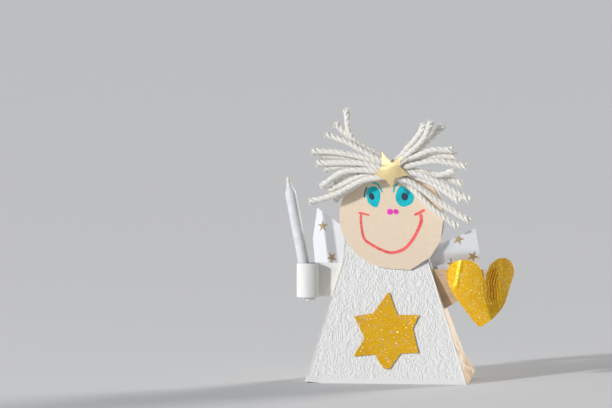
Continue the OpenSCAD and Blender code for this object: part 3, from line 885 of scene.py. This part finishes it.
# %% Forehead star
fold_y, fold_z = -14.9, 118.2
upper_lean, lower_lean = math.radians(12), math.radians(6)
forehead_outline = [(-3.3, 8.1), (-0.6, 4.9), (2.6, 2.0), (5.4, 4.0), (8.1, 5.9), (7.3, 3.0), (6.8, 0.4),
                    (9.6, -2.2), (11.9, -4.6), (7.8, -5.6), (4.4, -6.6), (3.4, -9.2), (2.5, -11.9),
                    (1.0, -9.6), (-0.7, -7.4), (-3.8, -6.0), (-6.9, -4.6), (-5.0, -2.4), (-2.9, 0.0),
                    (-3.0, 4.0)]


def forehead_place(x, b, h):
    """The fold lies level; the halves lean back above and below it, and round the fold off."""
    spread = math.hypot(b, 2.0)
    up, down = (spread + b) / 2, (spread - b) / 2
    back = math.sin(upper_lean) * up + math.sin(lower_lean) * down
    rise = math.cos(upper_lean) * up - math.cos(lower_lean) * down
    dome = ease(9, 1, math.dist((x, b), (3.0, -3.0)))
    twist = 0.17 * (x - 2.5) * ease(-1, 1.5, b)
    return (x, fold_y + back - h - dome - twist, fold_z + rise)


gold_star = cut_sheet(forehead_outline, 0.8, 0.4, forehead_place)
build("gold_forehead_star", gold_star, gold_card, "doll", "gold_card", "forehead_star")
print("forehead star: folded gold card")

# %% [markdown]
# ## The wings
# The wings are one strip of thin paper behind the neck, printed with small stars and folded so that both ends
# stand back. Thin paper is never flat: the left flap curls a little towards its tip, and the upper part of
# the right one curls forward. A flat plate would look like card, so a function bends each flap. The stars are
# printed on the front only, and one is cut through by the edge of the paper. A thin round crease on each fold
# line closes the paper there, however far the flap swings.

# %% Wing tools
wing_fold_x, wing_fold_y = 8, 1.1
wing_low, wing_high = 68, 80
wing_thick = 0.4


def wing_place(side, sweep):
    """Where a point s along a wing goes; the wing folds at its root and sweeps back."""
    back = math.radians(sweep)

    def place(s, z, h):
        if side < 0:
            curl = 0.9 * ease(18, 42, s) * (0.4 + wave(s, z, 30, side))
        else:
            curl = -4 * ease(64, 72, z) * ease(12, 20, s)
        off = h - wing_thick / 2 - curl - 0.12 * wave(s, z, 9, 3)
        x = wing_fold_x + s * math.cos(back) + off * math.sin(back)
        return (side * x, wing_fold_y + s * math.sin(back) - off * math.cos(back), z)
    return place


def printed_star(s, z, spin, size=3.5):
    """A small five-point star."""
    return [(s + r * math.cos(math.radians(spin + 36 * i)), z + r * math.sin(math.radians(spin + 36 * i)))
            for i in range(10) for r in ((size if i % 2 == 0 else size * 0.36),)]


def cut_off(outline, a, b):
    """The part of an outline to the right of the line from a to b."""
    def over(p):
        return (b[0] - a[0]) * (p[1] - a[1]) - (b[1] - a[1]) * (p[0] - a[0])
    kept = []
    for p, q in zip(outline, outline[1:] + outline[:1]):
        if over(p) <= 0:
            kept.append(p)
        if over(p) * over(q) < 0:
            t = over(p) / (over(p) - over(q))
            kept.append((p[0] + (q[0] - p[0]) * t, p[1] + (q[1] - p[1]) * t))
    return kept


print("wing tools are ready")

# %% Wings
wings = {
    "left": (-1, 24, [(0.3, wing_low), (19.3, wing_low), (23, 53), (38, 53), (39.5, 63), (41, 77), (38, 94),
                      (22, 84.5), (0.3, wing_high)],
             [(34.4, 83.9, 90), (28.3, 66.7, 60), (16, 75, 20), (33.5, 58, 10)]),
    "right": (1, 7, [(0.3, wing_low), (13.5, wing_low), (13.9, 66), (18.6, 53), (38.5, 53), (40.7, 62),
                     (41.5, 67), (38.5, 84), (20.5, 75.8), (0.3, wing_high)],
              [(37.2, 68.4, 66), (25.5, 64.4, 100), (10, 74, 30), (32, 57.5, 40)]),
}
for name, (side, sweep, outline, stars) in wings.items():
    place = wing_place(side, sweep)
    build(f"{name}_wing_paper", cut_sheet(outline, 2.0, wing_thick, place), wing_paper, f"{name}_wing_flap",
          "printed_paper", f"{name}_wing")
    prints = [printed_star(*star) for star in stars]
    if name == "right":
        prints.append(cut_off(printed_star(29.3, 78.0, 75), (20.5, 75.6), (38.5, 83.8)))
    shapes = [cut_sheet(p, 1.2, 0.03, lambda s, z, h: place(s, z, wing_thick + 0.01 + h)) for p in prints]
    build(f"{name}_wing_stars", join(shapes), print_ink, f"{name}_wing_flap", "printed_paper")
    fold = Vector((side * wing_fold_x, wing_fold_y, 0))
    crease = [ring(fold + Vector((0, 0, z)), Vector((1, 0, 0)), Vector((0, 1, 0)), 0.27, 12)
              for z in (wing_low + (wing_high - wing_low) * i / 3 for i in range(4))]
    build(f"{name}_wing_crease", tube(crease), wing_paper, "doll", "printed_paper")
dress_cad("wing_centre", wing_paper)
print("wings: two flaps with printed stars and their creases")

# %% [markdown]
# ## The left arm and its candle
# The left arm is a strip of paper glued to the side of the body. Its end is rolled forwards into a sleeve: it
# goes back, round the left, across the front, swells out at the right and meets the strip again. A grid
# follows that path, first straight and then round. The candle is turned on a lathe in thought: rings along a
# leaning axis, each a little uneven, up to the soft cone and the stub of wick.

# %% Left arm
arm_thick = 0.5
arm_gap = 0.3
left_arm_low, left_arm_wide = 46, 18.6
sleeve_x, sleeve_y, sleeve_radius = -45.4, -5.4, 5.4
straight = 0.34


def left_arm_place(u, v, h):
    """The strip runs straight for its first part, then round the sleeve's axis."""
    z = left_arm_low + left_arm_wide * v
    off = h - arm_thick / 2
    ripple = 0.12 * wave(u * 60, z, 10, 8)
    if u < straight:
        root = left_x(z) - arm_gap
        x = root + (sleeve_x - root) * u / straight
        return (x, -off - ripple * math.sin(math.pi * u / straight), z)
    turn_by = 90 + 328 * (u - straight) / (1 - straight)
    swell = 0.8 * ease(290, 355, turn_by) * ease(410, 375, turn_by)
    radius = sleeve_radius - off + ripple * 0.5 + swell
    way = math.radians(turn_by)
    return (sleeve_x + radius * math.cos(way), sleeve_y + radius * math.sin(way), z)


build("left_arm_paper", grid_sheet(110, 20, arm_thick, left_arm_place), arm_paper, "left_arm_strip",
      "arm_paper", "left_arm")
dress_cad("left_arm_tab", arm_paper)
print("left arm: strip and sleeve")

# %% Candle
candle_axis = Vector((-0.186969, 0, 0.982366))
candle_below = 11.467
sleeve_middle = Vector((sleeve_x, sleeve_y, left_arm_low + left_arm_wide / 2))
candle_foot = sleeve_middle - candle_axis * candle_below
candle_side = Vector((0, 1, 0))
candle_up = candle_axis.cross(candle_side)


def candle_ring(along, radius, lumps):
    return ring(candle_foot + candle_axis * along, candle_side, candle_up, radius, 28, lumps)


candle_profile = [(0.0, 2.4), (0.3, 2.85), (0.9, 3.0)] + [(1.5 + 1.2 * i, 3.05) for i in range(49)]
candle_profile += [(60.6, 2.9), (61.6, 2.5), (62.8, 2.0), (64.0, 1.65), (65.2, 1.35), (66.1, 1.1),
                   (66.3, 0.6)]
candle_rings = [candle_ring(a, r * (1 + 0.02 * wave(a, 0, 7)), 0.1) for a, r in candle_profile]
build("wax_candle", tube(candle_rings), wax, "candle_stick", "wax", "candle")
wick_path = [candle_foot + candle_axis * (66.32 + 0.25 * i) + Vector((0.02 * i, 0, 0)) for i in range(12)]
wick_rings = [ring(p, candle_side, candle_up, 1 - 0.35 * ease(6, 11, i), 14, 0.25)
              for i, p in enumerate(wick_path)]
build("candle_wick", tube(wick_rings), wick_look, "candle_stick", "wick", "wick")
print("candle: wax and wick")

# %% [markdown]
# ## The right arm and the gold heart
# The right arm is a plain tan strip that narrows to the hand. The heart is stiff gold film with glitter in
# it. Its left lobe bulges gently, and a low ridge in it catches a lamp as a bright streak. Its right lobe is
# bent back along a crease that runs down from the notch, with wrinkles beside it. The outline is drawn as it
# looks from the front, and a function says how far back each point of it stands.

# %% Right arm
right_arm_low, right_hand_low, right_arm_top = 40, 51, 61.5


def right_arm_place(u, v, h):
    """The strip narrows to the hand, whose end follows the notch of the heart."""
    low = right_arm_low + (right_hand_low - right_arm_low) * u
    z = low + (right_arm_top - low) * v
    root, tip = right_x(z) + arm_gap, 51.2 + 1.8 * ease(53.5, 59.5, z)
    return (root + (tip - root) * u, arm_thick / 2 - h, z)


build("right_arm_paper", grid_sheet(30, 16, arm_thick, right_arm_place), tan_paper, "right_arm_strip",
      "tan_paper", "right_arm")
dress_cad("right_arm_tab", tan_paper)
print("right arm: strip")

# %% Gold heart
heart_x, heart_y, heart_z = 51.9, -0.27, 57.3
heart_lean = math.radians(-5)
film_thick = 0.38
left_edge = [(0.5, -2.0), (-1.1, 1.6), (-2.7, 5.1), (-5.3, 7.1), (-7.6, 8.1), (-10.4, 8.6), (-13.5, 8.3),
             (-16.5, 7.2), (-18.8, 5.5), (-20.4, 2.9), (-20.8, -0.2), (-20.2, -3.2), (-18.3, -7.4),
             (-15.5, -11.4), (-10.0, -17.6), (-3.8, -24.4), (0.1, -27.7)]
right_edge = [(0.1, -27.7), (5.8, -23.0), (8.6, -19.6), (11.2, -15.2), (12.5, -10.4), (13.3, -5.5),
              (14.0, -1.9), (14.7, 1.8), (14.5, 4.9), (13.5, 8.0), (11.6, 10.0), (9.8, 11.0), (7.0, 10.7),
              (4.9, 9.6), (2.3, 6.7), (1.0, 2.3), (0.5, -2.0)]
heart_outline = [(p.x, p.z) for edge in (left_edge, right_edge)
                 for p in smooth_path([Vector((a, 0, b)) for a, b in edge], 1.0)[:-1]]


def beyond(t):
    """0 before a fold and t after it, with a small rounding."""
    return (math.hypot(t, 1.2) + t) / 2


def heart_place(a, b, h):
    """The film at a to the right of the notch and b above it: past is how far beyond the crease it lies."""
    past = a - 0.7 - 0.013 * min(0.0, b + 1.9) ** 2
    # The right lobe bends back beyond the crease, less so in its middle, with wrinkles beside the crease.
    back = 1.2 * beyond(past) - 0.6 * beyond(past - 5.5) + 1.0 * beyond(past - 9.5)
    folds = math.exp(-((past - 3.6) / 3) ** 2) * ease(-19, -10, b) * ease(9, 3, b)
    back += 1.5 * folds * (1 - abs(math.sin(2.3 * past + 3 * wave(past, b, 6, 6)))) ** 1.5
    # The left lobe bulges forward, and a low ridge stands on it.
    bulge = 1.3 * math.sin(math.pi * min(1.0, max(0.0, (a + 20) / 21))) * ease(-26, -6, b)
    ridge = 0.55 * math.exp(-(a + 14.0 - 0.1 * b) ** 2) * ease(-9.5, -6, b) * ease(9, 6, b)
    return (heart_x + a * math.cos(heart_lean) - b * math.sin(heart_lean), heart_y + back - bulge - ridge - h,
            heart_z + a * math.sin(heart_lean) + b * math.cos(heart_lean))


film = cut_sheet(heart_outline, 0.35, film_thick, heart_place)
build("gold_film_heart", film, gold_film, "right_arm_strip", "gold_film", "gold_heart")
heart_flakes = scatter_flakes(heart_outline, heart_place, film_thick, 380, 0.2, random.Random(9))
build("heart_flakes", heart_flakes, flake_look, "right_arm_strip", "gold_film")
print("heart: film and flakes")

# %% [markdown]
# ## Studio
# The doll stands on a plain pale floor that rises very gently into a backdrop all round. The floor is quite
# matt, since a glossy one would mirror the lamps as white patches in some views. The key light comes from the
# front left, rather low, and gives the shadow of the candle on the wing and of the hair on the face. A broad,
# soft sun from behind on the right lights the side of the body and shines through the wing. A narrow lamp at
# the left is there for the streak on the heart, and the pale world fills the shadows.

# %% Floor
spokes = 64
flat_out, rise_steps = 1.6, 12
floor_profile = [(0.6, 0.0), (flat_out, 0.0)]
floor_profile += [(flat_out + 0.6 * i, 0.9 * (i / rise_steps) ** 2) for i in range(1, rise_steps + 1)]
points = [(r * math.cos(math.tau * i / spokes), r * math.sin(math.tau * i / spokes), z)
          for r, z in floor_profile for i in range(spokes)]
faces = [[inner + i, inner + spokes + i, inner + spokes + (i + 1) % spokes, inner + (i + 1) % spokes]
         for inner in range(0, len(points) - spokes, spokes) for i in range(spokes)] + [list(range(spokes))]
floor_mesh = bpy.data.meshes.new("floor")
floor_mesh.from_pydata(points, [], faces)
floor_mesh.shade_smooth()
floor = bpy.data.objects.new("floor", floor_mesh)
scene.collection.objects.link(floor)
floor_look, tree, surface = material("pale floor", Roughness=0.7, Specular_IOR_Level=0.0)
surface["Base Color"].default_value = colour(224, 227, 232)
floor_mesh.materials.append(floor_look)
print("floor:", len(floor_profile), "rings of", spokes, "points")


# %% Lamps and world
def lamp(name, kind, turn_by, rise, energy, distance=1.8, **settings):
    """A lamp that aims at the doll's middle, turned from the front and raised by some degrees."""
    aim = Vector((0, 0, 0.07))
    light = bpy.data.lights.new(name, kind)
    light.energy = energy
    for setting, value in settings.items():
        setattr(light, setting, value)
    holder = bpy.data.objects.new(name, light)
    turn_by, rise = math.radians(turn_by), math.radians(rise)
    way = Vector((math.sin(turn_by) * math.cos(rise), -math.cos(turn_by) * math.cos(rise), math.sin(rise)))
    holder.location = aim + way * distance
    holder.rotation_euler = way.to_track_quat("Z", "Y").to_euler()
    holder.visible_camera = False
    scene.collection.objects.link(holder)


lamp("key", "SUN", -41.5, 20, 2.06, angle=math.radians(4))
lamp("rear", "SUN", 140, 18, 2.55, angle=math.radians(19), color=(1.0, 0.95, 0.88))
lamp("streak", "AREA", -55, 8, 3.5, 1.4, shape="RECTANGLE", size=0.03, size_y=0.5)

world = bpy.data.worlds.new("studio")
scene.world = world
world.use_nodes = True
sky = world.node_tree.nodes["Background"]
sky.inputs["Color"].default_value = (1.0, 0.985, 0.96, 1.0)
sky.inputs["Strength"].default_value = 0.22
scene.view_settings.view_transform = "Standard"
print("studio: three lamps and world")
